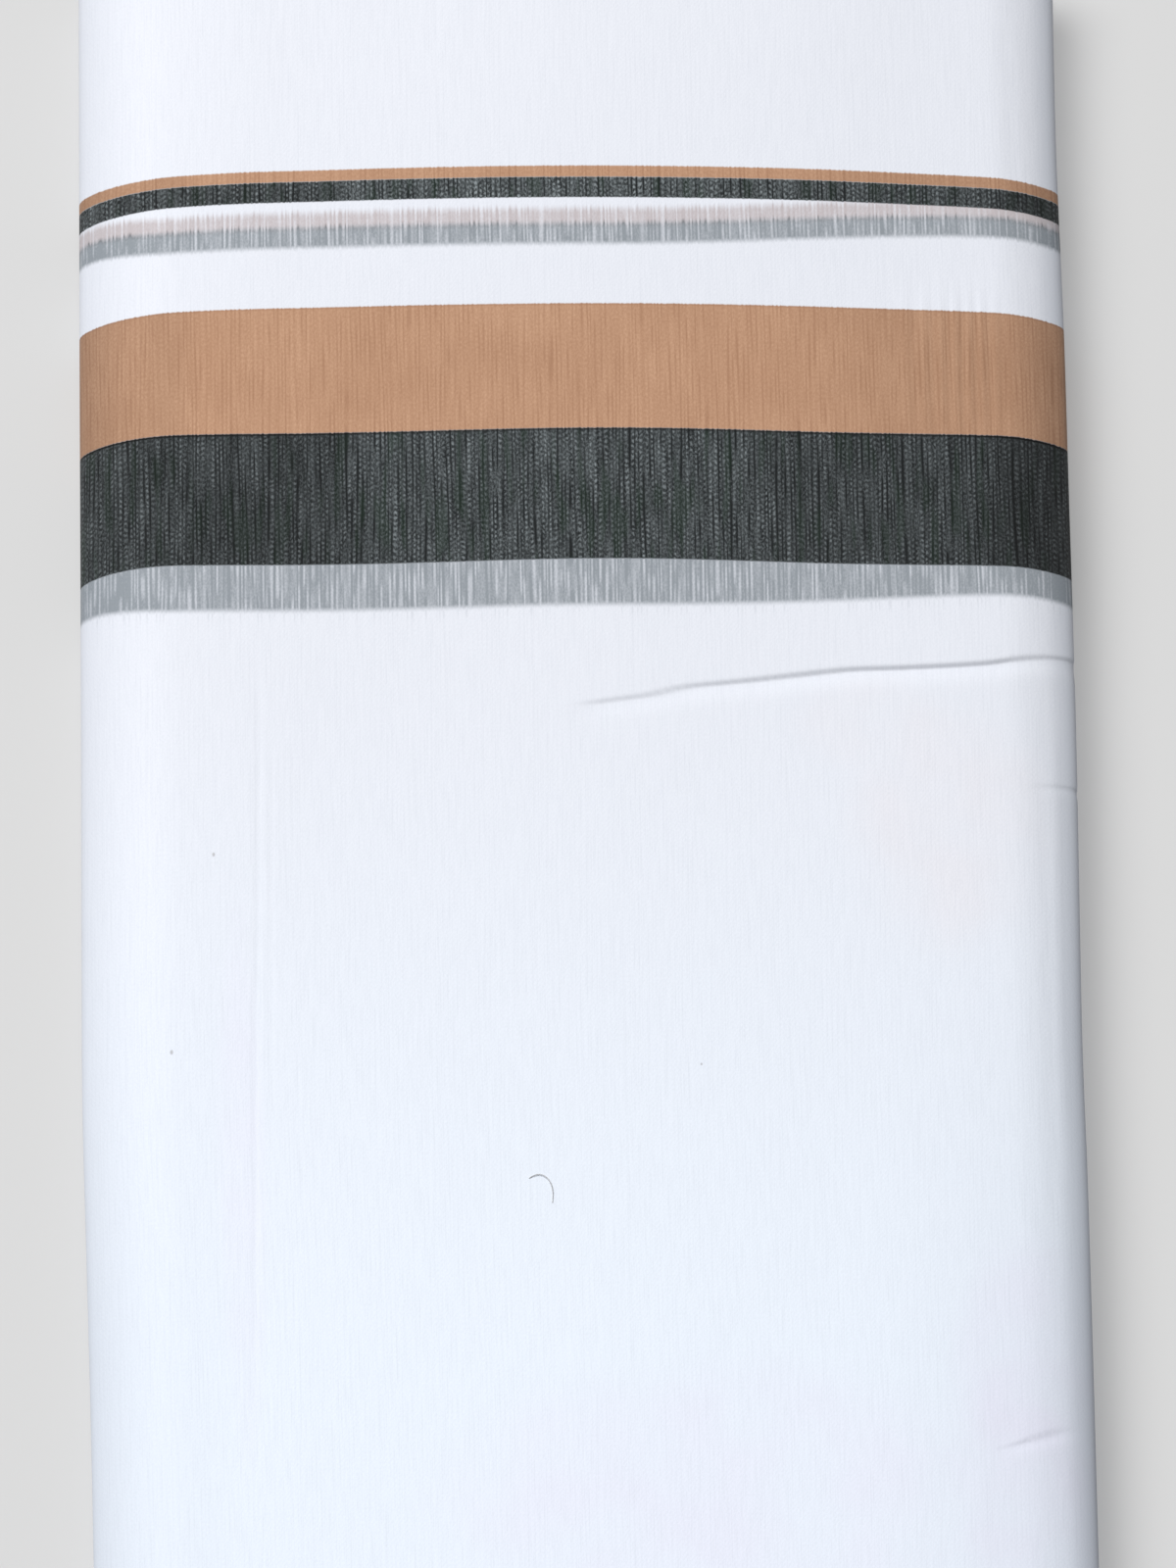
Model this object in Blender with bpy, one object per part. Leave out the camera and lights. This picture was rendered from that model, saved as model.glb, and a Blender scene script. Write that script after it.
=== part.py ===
"""A folded dhoti: one length of plain woven cotton, pressed into a flat stack.

The cloth is doubled across its width, and the doubled cloth is then halved four
times along its length, which gives sixteen plies. X runs across the stack, Y along
it from the doubled edge to the woven edges, and Z up from the face it rests on.

Every section is first worked out for a stack of even thickness, with ply 0 at the
bottom and ply 15 on top. The function settle() then gives it the real heights.
"""

import math

import bmesh
import bpy
import numpy as np

MM = 0.001

# Driving dimensions.
CLOTH_LENGTH = 3.80          # from cut end to cut end
CLOTH_WIDTH = 1.27           # from woven edge to woven edge
HALVINGS = 4                 # folds along the length
FOLD_ALLOWANCE = 7.5 * MM    # what the bends add to the width of the stack
PLY_WALL = 1.05 * MM         # one ply, which is two thicknesses of cloth and loft
PLY_GAP = 0.30 * MM          # clear space between two plies

PLY_COUNT = 2 ** HALVINGS
STACK_WIDTH = CLOTH_LENGTH / PLY_COUNT + FOLD_ALLOWANCE
LOWER_REACH = 1.7 * MM       # how far the lower half stack comes out at the right
LEFT_BULGE = 0.8 * MM        # how far the left side stands out of true at its fullest
RIGHT_BULGE = 1.3 * MM       # the same at the right side, which is at the lower half stack
STACK_LENGTH = CLOTH_WIDTH / 2
PLY_PITCH = PLY_WALL + PLY_GAP
EVEN_HEIGHT = (PLY_COUNT - 1) * PLY_PITCH + PLY_WALL

# Ply numbers at the right-hand side, where the two half stacks show.
TOP_PLY = PLY_COUNT - 1
UPPER_FIRST = PLY_COUNT // 2             # lowest ply of the upper half stack
LOWER_TURN = PLY_COUNT // 4 - 1          # ply that the bottom ply turns back into
INNER_FOLD_PLY = LOWER_TURN + 1          # lower ply of the first, innermost fold
CUT_END_PLIES = (INNER_FOLD_PLY + 2, INNER_FOLD_PLY + 3)

# Sides of the stack.
LEFT = -(STACK_WIDTH + RIGHT_BULGE - LEFT_BULGE) / 2
RIGHT = LEFT + STACK_WIDTH
RETURN_DEPTH = 22 * MM       # how far the parts that show at the right reach in
SPLIT_X = RIGHT - RETURN_DEPTH
INNER_FOLD_SETBACK = 2.6 * MM
CUT_END_SETBACKS = (1.6 * MM, 4.2 * MM)
COMB_DEPTH = 14 * MM         # depth to which the plies stand apart at both ends

# A pressed fold is a flat half ellipse. Its reach across the stack is its radius,
# stretched a little so that the walls keep their thickness, plus a spread.
BEND_STRETCH = 1.3
LEFT_SPREAD = 10.6 * MM
UPPER_SPREAD = 9.2 * MM
LOWER_SPREAD = 5.0 * MM
INNER_SPREAD = 3.0 * MM

# Height across the stack, over its even height: what the pressed sides fall away
# from, all along the stack, and the crown, which changes along it.
# (distance from the middle, rounding, crown)
HEIGHT_ACROSS = (
    (LEFT, 0.0 * MM, 0.0 * MM),
    (LEFT + 2 * MM, 0.1 * MM, 0.0 * MM),
    (LEFT + 5 * MM, 0.7 * MM, 0.0 * MM),
    (LEFT + 12 * MM, 1.8 * MM, 0.1 * MM),
    (LEFT + 24 * MM, 2.95 * MM, 0.8 * MM),
    (LEFT + 36 * MM, 3.5 * MM, 1.6 * MM),
    (LEFT + 60 * MM, 4.1 * MM, 2.4 * MM),
    (LEFT + 84 * MM, 4.6 * MM, 3.0 * MM),
    (0.0, 5.1 * MM, 3.4 * MM),
    (RIGHT - 85 * MM, 4.9 * MM, 3.1 * MM),
    (RIGHT - 61 * MM, 4.6 * MM, 2.5 * MM),
    (RIGHT - 37 * MM, 4.3 * MM, 1.2 * MM),
    (RIGHT - 25 * MM, 3.9 * MM, 0.6 * MM),
    (RIGHT - 13 * MM, 2.8 * MM, 0.2 * MM),
    (RIGHT - 6 * MM, 1.3 * MM, 0.0 * MM),
    (RIGHT - 3 * MM, 0.5 * MM, 0.0 * MM),
    (RIGHT, 0.0 * MM, 0.0 * MM),
)

# Share of the crown that is left along the stack: the woven borders make the far
# end fuller, and the doubled end is pressed flatter.
# (distance along, share)
CROWN_ALONG = (
    (-0.50 * STACK_LENGTH, 0.05),
    (-0.25 * STACK_LENGTH, 0.08),
    (0.05 * STACK_LENGTH, 0.08),
    (0.22 * STACK_LENGTH, 0.14),
    (0.28 * STACK_LENGTH, 0.35),
    (0.35 * STACK_LENGTH, 0.98),
    (0.40 * STACK_LENGTH, 1.30),
    (0.50 * STACK_LENGTH, 1.40),
)

# The two sides of the stack are a little out of true.
# (distance along, drift of the left side, drift of the right side)
SIDE_DRIFT = (
    (-0.50 * STACK_LENGTH, 1.0 * MM, -0.40 * MM),
    (-0.21 * STACK_LENGTH, 0.75 * MM, -0.33 * MM),
    (-0.14 * STACK_LENGTH, 0.40 * MM, -0.15 * MM),
    (-0.07 * STACK_LENGTH, -0.20 * MM, 0.0 * MM),
    (0.00 * STACK_LENGTH, -LEFT_BULGE, 0.02 * MM),
    (0.06 * STACK_LENGTH, -0.62 * MM, 0.20 * MM),
    (0.16 * STACK_LENGTH, -0.15 * MM, 0.50 * MM),
    (0.26 * STACK_LENGTH, 0.30 * MM, 0.15 * MM),
    (0.33 * STACK_LENGTH, 0.60 * MM, -0.15 * MM),
    (0.41 * STACK_LENGTH, 0.95 * MM, -1.0 * MM),
    (0.50 * STACK_LENGTH, 1.30 * MM, -0.9 * MM),
)

# How far the lower half stack comes out from under the upper one, at the right.
# (distance along, shift to the right)
LOWER_SHIFT = (
    (-0.50 * STACK_LENGTH, LOWER_REACH),
    (-0.20 * STACK_LENGTH, 1.5 * MM),
    (0.02 * STACK_LENGTH, 0.2 * MM),
    (0.25 * STACK_LENGTH, -1.0 * MM),
    (0.50 * STACK_LENGTH, -1.6 * MM),
)

# How far each nested fold stops short of the two ends, outermost fold first.
# (at the left-hand folds: woven-edge end, doubled end)
LEFT_SETBACKS = (
    (0.0 * MM, 0.0 * MM),
    (1.2 * MM, 0.6 * MM),
    (0.4 * MM, 1.8 * MM),
    (2.6 * MM, 0.9 * MM),
    (1.4 * MM, 2.4 * MM),
    (3.2 * MM, 1.2 * MM),
    (0.9 * MM, 2.9 * MM),
    (2.2 * MM, 1.6 * MM),
)
# (at the right-hand folds of the upper half stack, outermost first)
UPPER_SETBACKS = (
    (0.4 * MM, 0.3 * MM),
    (2.0 * MM, 1.1 * MM),
    (0.8 * MM, 2.2 * MM),
    (2.8 * MM, 0.7 * MM),
)
# (at the right-hand side of the lower half stack: bottom fold, the fold in it,
# the first fold, and the two cut ends)
LOWER_SETBACKS = (
    (0.6 * MM, 0.2 * MM),
    (1.8 * MM, 1.0 * MM),
    (2.5 * MM, 2.0 * MM),
    (3.6 * MM, 1.4 * MM),
    (1.0 * MM, 3.0 * MM),
)
LOWER_CHAIN = (0, 1, 1, 0, 2, 2, 3, 4)   # row of LOWER_SETBACKS for plies 0 to 7

# Facets.
FLAT_STEPS = 10              # across the flat of the stack
RETURN_STEPS = 3             # across the parts that show at the right
LEFT_BEND_STEPS = 12
UPPER_BEND_STEPS = 10
SMALL_BEND_STEPS = 6
LENGTH_STEPS = 18            # along the stack between the combs

CLOTH_WHITE = (0.82, 0.85, 0.91, 1.0)
FOLD_WHITE = (0.76, 0.80, 0.87, 1.0)
HIDDEN_WHITE = (0.70, 0.74, 0.81, 1.0)


def smooth_read(table, place, column=1):
    """Value at a place, from a short table, without a kink at its rows."""
    places = [row[0] for row in table]
    values = [row[column] for row in table]
    if place <= places[0]:
        return values[0]
    if place >= places[-1]:
        return values[-1]
    slopes = np.gradient(values, places)
    k = int(np.searchsorted(places, place, side="right")) - 1
    span = places[k + 1] - places[k]
    s = (place - places[k]) / span
    start = values[k] * (1 + 2 * s) * (1 - s) ** 2 + slopes[k] * span * s * (1 - s) ** 2
    end = values[k + 1] * s * s * (3 - 2 * s) + slopes[k + 1] * span * s * s * (s - 1)
    return float(start + end)


def stack_height(x, y):
    """Height of the stack at a point of its plan."""
    crown = smooth_read(HEIGHT_ACROSS, x, 2) * smooth_read(CROWN_ALONG, y)
    return EVEN_HEIGHT + smooth_read(HEIGHT_ACROSS, x, 1) + crown


def settle(x, y, z):
    """Move a point of the even stack to its place in the real one."""
    share = min(max((x - LEFT) / STACK_WIDTH, 0.0), 1.0)
    shift = smooth_read(SIDE_DRIFT, y, 1) * (1 - share) + smooth_read(SIDE_DRIFT, y, 2) * share
    if z < EVEN_HEIGHT / 2 and x > SPLIT_X:
        shift += smooth_read(LOWER_SHIFT, y) * (x - SPLIT_X) / (RIGHT - SPLIT_X)
    return (x + shift, y, z * stack_height(x, y) / EVEN_HEIGHT)


def ply_bottom(ply):
    """Height of the lower face of a ply in the even stack."""
    return ply * PLY_PITCH


def ply_top(ply):
    """Height of the upper face of a ply in the even stack."""
    return ply_bottom(ply) + PLY_WALL


def ply_middle(ply):
    """Height of the middle of a ply in the even stack."""
    return ply_bottom(ply) + PLY_WALL / 2


def length_rows():
    """Places along the stack: both combs and the even rows between them."""
    inner = STACK_LENGTH / 2 - COMB_DEPTH
    middle = [-inner + 2 * inner * i / LENGTH_STEPS for i in range(LENGTH_STEPS + 1)]
    return [-STACK_LENGTH / 2] + middle + [STACK_LENGTH / 2]


def setback(ply, x, far_end):
    """How far a ply stops short of one end of the stack, at a place across it."""
    column = 0 if far_end else 1
    at_left = LEFT_SETBACKS[min(ply, TOP_PLY - ply)][column]
    if ply >= UPPER_FIRST:
        at_right = UPPER_SETBACKS[min(ply - UPPER_FIRST, TOP_PLY - ply)][column]
    else:
        at_right = LOWER_SETBACKS[LOWER_CHAIN[ply]][column]
    share = min(max((x - LEFT) / STACK_WIDTH, 0.0), 1.0)
    return at_left + (at_right - at_left) * share


def end_y(y, ply, x):
    """Row position of a ply, which is set back at the two ends of the stack."""
    if y >= STACK_LENGTH / 2:
        return y - setback(ply, x, True)
    if y <= -STACK_LENGTH / 2:
        return y + setback(ply, x, False)
    return y


def reach(radius, spread):
    """How far a pressed fold goes across the stack, from where its plies part."""
    return BEND_STRETCH * radius + spread


def bend(centre, radius, spread, start, stop, steps):
    """Points of a pressed fold in the XZ section, with its angles in degrees."""
    points = []
    for i in range(steps + 1):
        angle = math.radians(start + (stop - start) * i / steps)
        across = reach(radius, spread) * math.cos(angle)
        points.append((centre[0] + across, centre[1] + radius * math.sin(angle)))
    return points


def left_fold_centre():
    """Where the full fold at the left begins, at half the height of the stack."""
    return (LEFT + reach(EVEN_HEIGHT / 2, LEFT_SPREAD), EVEN_HEIGHT / 2)


def right_fold_centre(low_ply, high_ply, spread, set_in=0.0):
    """Where a fold at the right begins, between the two plies that it joins."""
    low = ply_bottom(low_ply)
    high = ply_top(high_ply)
    return (RIGHT - set_in - reach((high - low) / 2, spread), (low + high) / 2)


def run(x_from, x_to, z, steps):
    """Points of a straight run in the XZ section, without its two ends."""
    return [(x_from + (x_to - x_from) * i / steps, z) for i in range(1, steps)]


def flat_places():
    """Places across the flat of the stack, closer together at its two sides."""
    left = left_fold_centre()[0]
    middle = (left + SPLIT_X) / 2
    half = (SPLIT_X - left) / 2
    turns = [math.pi * i / FLAT_STEPS for i in range(FLAT_STEPS + 1)]
    return [middle - half * (0.55 * math.cos(a) + 0.45 * (1 - 2 * a / math.pi)) for a in turns]


def make_material(name, colour):
    material = bpy.data.materials.new(name)
    material.use_nodes = True
    shader = material.node_tree.nodes["Principled BSDF"]
    shader.inputs["Base Color"].default_value = colour
    shader.inputs["Roughness"].default_value = 0.85
    shader.inputs["Metallic"].default_value = 0.0
    material.diffuse_color = colour
    return material


def add_node(name, mesh_data, colour):
    """Turn a bmesh into a named object with its own material."""
    bmesh.ops.recalc_face_normals(mesh_data, faces=mesh_data.faces)
    mesh = bpy.data.meshes.new(name)
    mesh_data.to_mesh(mesh)
    mesh_data.free()
    mesh.shade_smooth()
    mesh.set_sharp_from_angle(angle=math.radians(40))
    mesh.materials.append(make_material(name + "_cotton", colour))
    node = bpy.data.objects.new(name, mesh)
    bpy.context.scene.collection.objects.link(node)
    return node


def ply_strip(name, outer, inner, plies, colour):
    """One ply as a wall: two lines of section points, carried along the stack.

    outer, inner: matching (x, z) points of the two faces of the wall.
    plies: the ply that each pair of points belongs to, for the set back ends.
    """
    data = bmesh.new()
    rows = []
    for y in length_rows():
        pairs = []
        for (xo, zo), (xi, zi), ply in zip(outer, inner, plies):
            row_y = end_y(y, ply, xo)
            pairs.append((data.verts.new(settle(xo, row_y, zo)), data.verts.new(settle(xi, row_y, zi))))
        rows.append(pairs)
    last = len(outer) - 1
    for near, far in zip(rows, rows[1:]):
        for k in range(last):
            data.faces.new((near[k][0], near[k + 1][0], far[k + 1][0], far[k][0]))
            data.faces.new((near[k][1], far[k][1], far[k + 1][1], near[k + 1][1]))
        data.faces.new((near[0][0], far[0][0], far[0][1], near[0][1]))
        data.faces.new((near[last][0], near[last][1], far[last][1], far[last][0]))
    for row in (rows[0], rows[-1]):
        for k in range(last):
            data.faces.new((row[k][0], row[k][1], row[k + 1][1], row[k + 1][0]))
    return add_node(name, data, colour)


def outer_wrap_line(offset):
    """Section of the outer ply, moved outward from its middle by an offset."""
    left = left_fold_centre()
    upper = right_fold_centre(UPPER_FIRST, TOP_PLY, UPPER_SPREAD)
    lower = right_fold_centre(0, LOWER_TURN, LOWER_SPREAD)
    left_radius = (ply_middle(TOP_PLY) - ply_middle(0)) / 2 + offset
    upper_radius = (ply_middle(TOP_PLY) - ply_middle(UPPER_FIRST)) / 2 + offset
    lower_radius = (ply_middle(LOWER_TURN) - ply_middle(0)) / 2 + offset
    start = SPLIT_X + PLY_GAP

    line = [(start, upper[1] - upper_radius)]
    line += run(start, upper[0], upper[1] - upper_radius, RETURN_STEPS)
    line += bend(upper, upper_radius, UPPER_SPREAD, -90, 90, UPPER_BEND_STEPS)
    line += run(upper[0], SPLIT_X, ply_middle(TOP_PLY) + offset, RETURN_STEPS)
    line += [(x, ply_middle(TOP_PLY) + offset) for x in reversed(flat_places()[1:])]
    line += bend(left, left_radius, LEFT_SPREAD, 90, 270, LEFT_BEND_STEPS)
    line += [(x, ply_middle(0) - offset) for x in flat_places()[1:]]
    line += run(SPLIT_X, lower[0], ply_middle(0) - offset, RETURN_STEPS)
    line += bend(lower, lower_radius, LOWER_SPREAD, -90, 90, SMALL_BEND_STEPS)
    line += run(lower[0], start, lower[1] + lower_radius, RETURN_STEPS)
    line.append((start, lower[1] + lower_radius))
    return line


def make_outer_wrap():
    """The ply that shows on top, round the left, underneath and at two folds."""
    outer = outer_wrap_line(PLY_WALL / 2)
    inner = outer_wrap_line(-PLY_WALL / 2)
    plies = [TOP_PLY if z > EVEN_HEIGHT / 2 else 0 for x, z in outer]
    return ply_strip("outer_wrap", outer, inner, plies, CLOTH_WHITE)


def make_inner_fold():
    """The first fold of the cloth, which shows at the right between the packets."""
    next_ply = INNER_FOLD_PLY + 1
    centre = right_fold_centre(INNER_FOLD_PLY, next_ply, INNER_SPREAD, INNER_FOLD_SETBACK)
    start = SPLIT_X + PLY_GAP

    def line(offset):
        radius = PLY_PITCH / 2 + offset
        points = [(start, centre[1] - radius)]
        points += run(start, centre[0], centre[1] - radius, RETURN_STEPS)
        points += bend(centre, radius, INNER_SPREAD, -90, 90, SMALL_BEND_STEPS)
        points += run(centre[0], start, centre[1] + radius, RETURN_STEPS)
        points.append((start, centre[1] + radius))
        return points

    outer = line(PLY_WALL / 2)
    plies = [INNER_FOLD_PLY] * len(outer)
    return ply_strip("inner_fold", outer, line(-PLY_WALL / 2), plies, FOLD_WHITE)


def make_cut_end(name, ply, edge_setback):
    """One cut end of the cloth, as far in as it can be seen."""
    start = SPLIT_X + PLY_GAP
    stop = RIGHT - edge_setback
    across = [start] + [x for x, z in run(start, stop, 0.0, RETURN_STEPS + 1)] + [stop]
    top = [(x, ply_top(ply)) for x in across]
    bottom = [(x, ply_bottom(ply)) for x in across]
    return ply_strip(name, top, bottom, [ply] * len(across), FOLD_WHITE)


class LayeredSolid:
    """A solid put together from six-sided cells that share their corners.

    A face that two cells share lies inside the solid and is left out.
    """

    def __init__(self):
        self.corners = {}
        self.places = []
        self.faces = {}

    def corner(self, point):
        key = tuple(round(value * 1e7) for value in point)
        if key not in self.corners:
            self.corners[key] = len(self.places)
            self.places.append(point)
        return self.corners[key]

    def add_cell(self, near, far):
        """near, far: four points each, in the same turn, at two rows."""
        a = [self.corner(point) for point in near]
        b = [self.corner(point) for point in far]
        sides = [(a[k], a[(k + 1) % 4], b[(k + 1) % 4], b[k]) for k in range(4)]
        for side in [tuple(a), tuple(b)] + sides:
            face = tuple(dict.fromkeys(side))
            if len(face) < 3:
                continue
            key = frozenset(face)
            if key in self.faces:
                del self.faces[key]
            else:
                self.faces[key] = face

    def to_bmesh(self):
        data = bmesh.new()
        used = sorted({corner for face in self.faces.values() for corner in face})
        verts = {corner: data.verts.new(self.places[corner]) for corner in used}
        for face in self.faces.values():
            data.faces.new([verts[corner] for corner in face])
        return data


def section_cells():
    """Cells of the hidden plies in section: their corners, their ply and whether
    they fill the space between two plies."""
    cells = []

    def add_run(places, low, high, ply, is_gap):
        for x0, x1 in zip(places, places[1:]):
            cells.append((((x0, low), (x1, low), (x1, high), (x0, high)), ply, is_gap))

    def add_nested(centre, spread, first_ply, last_ply, start, stop, steps):
        """The upper plies from first to last, turned about a centre."""
        inner = 0.0
        for ply in range(first_ply, last_ply + 1):
            for is_gap, height in ((True, ply_bottom(ply)), (False, ply_top(ply))):
                outer = height - centre[1]
                small = bend(centre, inner, spread, start, stop, steps)
                large = bend(centre, outer, spread, start, stop, steps)
                for k in range(steps):
                    corners = (small[k], large[k], large[k + 1], small[k + 1])
                    cells.append((corners, ply, is_gap))
                inner = outer

    left = left_fold_centre()
    upper = right_fold_centre(UPPER_FIRST, TOP_PLY, UPPER_SPREAD)
    lower = right_fold_centre(0, LOWER_TURN, LOWER_SPREAD)
    flat = flat_places()
    upper_run = [SPLIT_X] + [x for x, z in run(SPLIT_X, upper[0], 0.0, RETURN_STEPS)] + [upper[0]]
    lower_run = [SPLIT_X] + [x for x, z in run(SPLIT_X, lower[0], 0.0, RETURN_STEPS)] + [lower[0]]

    for ply in range(1, TOP_PLY):
        last = ply == TOP_PLY - 1
        add_run(flat, ply_bottom(ply), ply_top(ply), ply, False)
        if not last:
            add_run(flat, ply_top(ply), ply_bottom(ply + 1), ply, True)
        if ply > UPPER_FIRST:
            add_run(upper_run, ply_bottom(ply), ply_top(ply), ply, False)
        if ply > UPPER_FIRST and not last:
            add_run(upper_run, ply_top(ply), ply_bottom(ply + 1), ply, True)
    for ply in (1, 2):
        add_run(lower_run, ply_bottom(ply), ply_top(ply), ply, False)
    add_run(lower_run, ply_top(1), ply_bottom(2), 1, True)

    first_nested = (UPPER_FIRST + TOP_PLY + 1) // 2
    add_nested(left, LEFT_SPREAD, UPPER_FIRST, TOP_PLY - 1, 90, 270, LEFT_BEND_STEPS)
    add_nested(upper, UPPER_SPREAD, first_nested, TOP_PLY - 1, -90, 90, UPPER_BEND_STEPS)
    add_nested(lower, LOWER_SPREAD, 2, 2, -90, 90, SMALL_BEND_STEPS)
    return cells


def make_hidden_layers():
    """All plies inside the outer one, as one solid that is layered at its ends."""
    solid = LayeredSolid()
    rows = length_rows()
    for corners, ply, is_gap in section_cells():
        for index, (y0, y1) in enumerate(zip(rows, rows[1:])):
            in_comb = index in (0, len(rows) - 2)
            if is_gap and in_comb:
                continue
            near = [settle(x, end_y(y0, ply, x), z) for x, z in corners]
            far = [settle(x, end_y(y1, ply, x), z) for x, z in corners]
            solid.add_cell(near, far)
    return add_node("hidden_layers", solid.to_bmesh(), HIDDEN_WHITE)


def main():
    for node in list(bpy.data.objects):
        bpy.data.objects.remove(node, do_unlink=True)
    make_outer_wrap()
    make_hidden_layers()
    make_inner_fold()
    names = ("cut_end_lower", "cut_end_upper")
    for name, ply, edge_setback in zip(names, CUT_END_PLIES, CUT_END_SETBACKS):
        make_cut_end(name, ply, edge_setback)


main()
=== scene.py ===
"""The looks of the folded dhoti cloth: cloth shells, woven bands, light and camera.

model.glb holds the solids. Each shell here stands for one of them, and follows the
same folded path as a thin doubled cloth, with its woven edges and its doubled edge.
"""

import math

import bmesh
import bpy
import numpy as np
from mathutils import Matrix, Vector


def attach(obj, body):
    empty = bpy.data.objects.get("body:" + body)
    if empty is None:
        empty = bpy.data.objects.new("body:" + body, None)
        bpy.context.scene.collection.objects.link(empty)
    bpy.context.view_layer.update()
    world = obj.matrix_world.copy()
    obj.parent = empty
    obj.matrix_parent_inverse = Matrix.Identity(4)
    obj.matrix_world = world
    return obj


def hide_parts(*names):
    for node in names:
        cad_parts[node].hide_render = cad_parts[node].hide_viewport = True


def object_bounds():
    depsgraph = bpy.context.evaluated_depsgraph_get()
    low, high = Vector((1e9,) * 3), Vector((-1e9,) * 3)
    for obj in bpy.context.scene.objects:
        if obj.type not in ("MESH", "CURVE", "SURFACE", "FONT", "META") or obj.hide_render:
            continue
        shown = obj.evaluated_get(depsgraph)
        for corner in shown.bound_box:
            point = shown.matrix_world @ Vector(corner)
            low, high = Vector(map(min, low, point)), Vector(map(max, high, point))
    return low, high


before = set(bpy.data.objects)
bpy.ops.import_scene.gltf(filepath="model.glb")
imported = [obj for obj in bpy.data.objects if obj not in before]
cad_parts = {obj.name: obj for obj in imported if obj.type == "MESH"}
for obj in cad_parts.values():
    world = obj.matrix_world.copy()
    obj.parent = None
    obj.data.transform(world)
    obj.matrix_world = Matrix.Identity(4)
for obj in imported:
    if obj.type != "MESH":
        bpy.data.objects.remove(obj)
cad_low, cad_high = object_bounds()

MM = 0.001
CLOTH_MEASURE = "cloth"      # the UV map with the cloth's own measures, in metres
SHARP_ANGLE = math.radians(60)
SEED_SPACING = 31.7          # between the parts of the noise that two seeds read

# ----- The fold: the same sizes as in the solids -----

PLY_COUNT = 16
PLY_WALL = 1.05 * MM         # one ply, which is two thicknesses of cloth and loft
PLY_GAP = 0.30 * MM          # clear space between two plies
PLY_PITCH = PLY_WALL + PLY_GAP
EVEN_HEIGHT = (PLY_COUNT - 1) * PLY_PITCH + PLY_WALL
TOP_PLY = PLY_COUNT - 1
UPPER_FIRST = PLY_COUNT // 2             # lowest ply of the upper half stack
LOWER_TURN = PLY_COUNT // 4 - 1          # ply that the bottom ply turns back into
INNER_FOLD_PLY = LOWER_TURN + 1          # lower ply of the first, innermost fold
CUT_END_LOWER = INNER_FOLD_PLY + 2
CUT_END_UPPER = INNER_FOLD_PLY + 3
CUT_END_SETBACKS = {CUT_END_LOWER: 1.6 * MM, CUT_END_UPPER: 4.2 * MM}
INNER_FOLD_SETBACK = 2.6 * MM
RETURN_DEPTH = 22 * MM       # how far the parts that show at the right reach in

STACK_WIDTH = 245 * MM
LOWER_REACH = 1.7 * MM       # how far the lower half stack comes out at the right
LEFT_BULGE = 0.8 * MM        # how far the left side stands out of true at its fullest
RIGHT_BULGE = 1.3 * MM       # the same at the right side
LEFT = -(STACK_WIDTH + RIGHT_BULGE - LEFT_BULGE) / 2
RIGHT = LEFT + STACK_WIDTH
LENGTH = cad_high.y - cad_low.y
SPLIT_X = RIGHT - RETURN_DEPTH

# A pressed fold is a flat half ellipse: its reach is its radius, stretched, and a spread.
BEND_STRETCH = 1.3
LEFT_SPREAD = 10.6 * MM
UPPER_SPREAD = 9.2 * MM
LOWER_SPREAD = 5.0 * MM
INNER_SPREAD = 3.0 * MM

# Height over the even height: what the pressed sides fall away from, all along the
# stack, and the crown, which changes along it. (place across, rounding, crown)
HEIGHT_ACROSS = (
    (LEFT, 0.0, 0.0),
    (LEFT + 2 * MM, 0.1 * MM, 0.0),
    (LEFT + 5 * MM, 0.7 * MM, 0.0),
    (LEFT + 12 * MM, 1.8 * MM, 0.1 * MM),
    (LEFT + 24 * MM, 2.95 * MM, 0.8 * MM),
    (LEFT + 36 * MM, 3.5 * MM, 1.6 * MM),
    (LEFT + 60 * MM, 4.1 * MM, 2.4 * MM),
    (LEFT + 84 * MM, 4.6 * MM, 3.0 * MM),
    (0.0, 5.1 * MM, 3.4 * MM),
    (RIGHT - 85 * MM, 4.9 * MM, 3.1 * MM),
    (RIGHT - 61 * MM, 4.6 * MM, 2.5 * MM),
    (RIGHT - 37 * MM, 4.3 * MM, 1.2 * MM),
    (RIGHT - 25 * MM, 3.9 * MM, 0.6 * MM),
    (RIGHT - 13 * MM, 2.8 * MM, 0.2 * MM),
    (RIGHT - 6 * MM, 1.3 * MM, 0.0),
    (RIGHT - 3 * MM, 0.5 * MM, 0.0),
    (RIGHT, 0.0, 0.0),
)
# The woven borders make the far end fuller. (place along, share of the crown)
CROWN_ALONG = (
    (-0.50 * LENGTH, 0.05),
    (-0.25 * LENGTH, 0.08),
    (0.05 * LENGTH, 0.08),
    (0.22 * LENGTH, 0.14),
    (0.28 * LENGTH, 0.35),
    (0.35 * LENGTH, 0.98),
    (0.40 * LENGTH, 1.30),
    (0.50 * LENGTH, 1.40),
)
# The two sides of the stack are a little out of true.
# (place along, drift of the left side, drift of the right side)
SIDE_DRIFT = (
    (-0.50 * LENGTH, 1.0 * MM, -0.40 * MM),
    (-0.21 * LENGTH, 0.75 * MM, -0.33 * MM),
    (-0.14 * LENGTH, 0.40 * MM, -0.15 * MM),
    (-0.07 * LENGTH, -0.20 * MM, 0.0),
    (0.00 * LENGTH, -LEFT_BULGE, 0.02 * MM),
    (0.06 * LENGTH, -0.62 * MM, 0.20 * MM),
    (0.16 * LENGTH, -0.15 * MM, 0.50 * MM),
    (0.26 * LENGTH, 0.30 * MM, 0.15 * MM),
    (0.33 * LENGTH, 0.60 * MM, -0.15 * MM),
    (0.41 * LENGTH, 0.95 * MM, -1.0 * MM),
    (0.50 * LENGTH, 1.30 * MM, -0.9 * MM),
)
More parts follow.
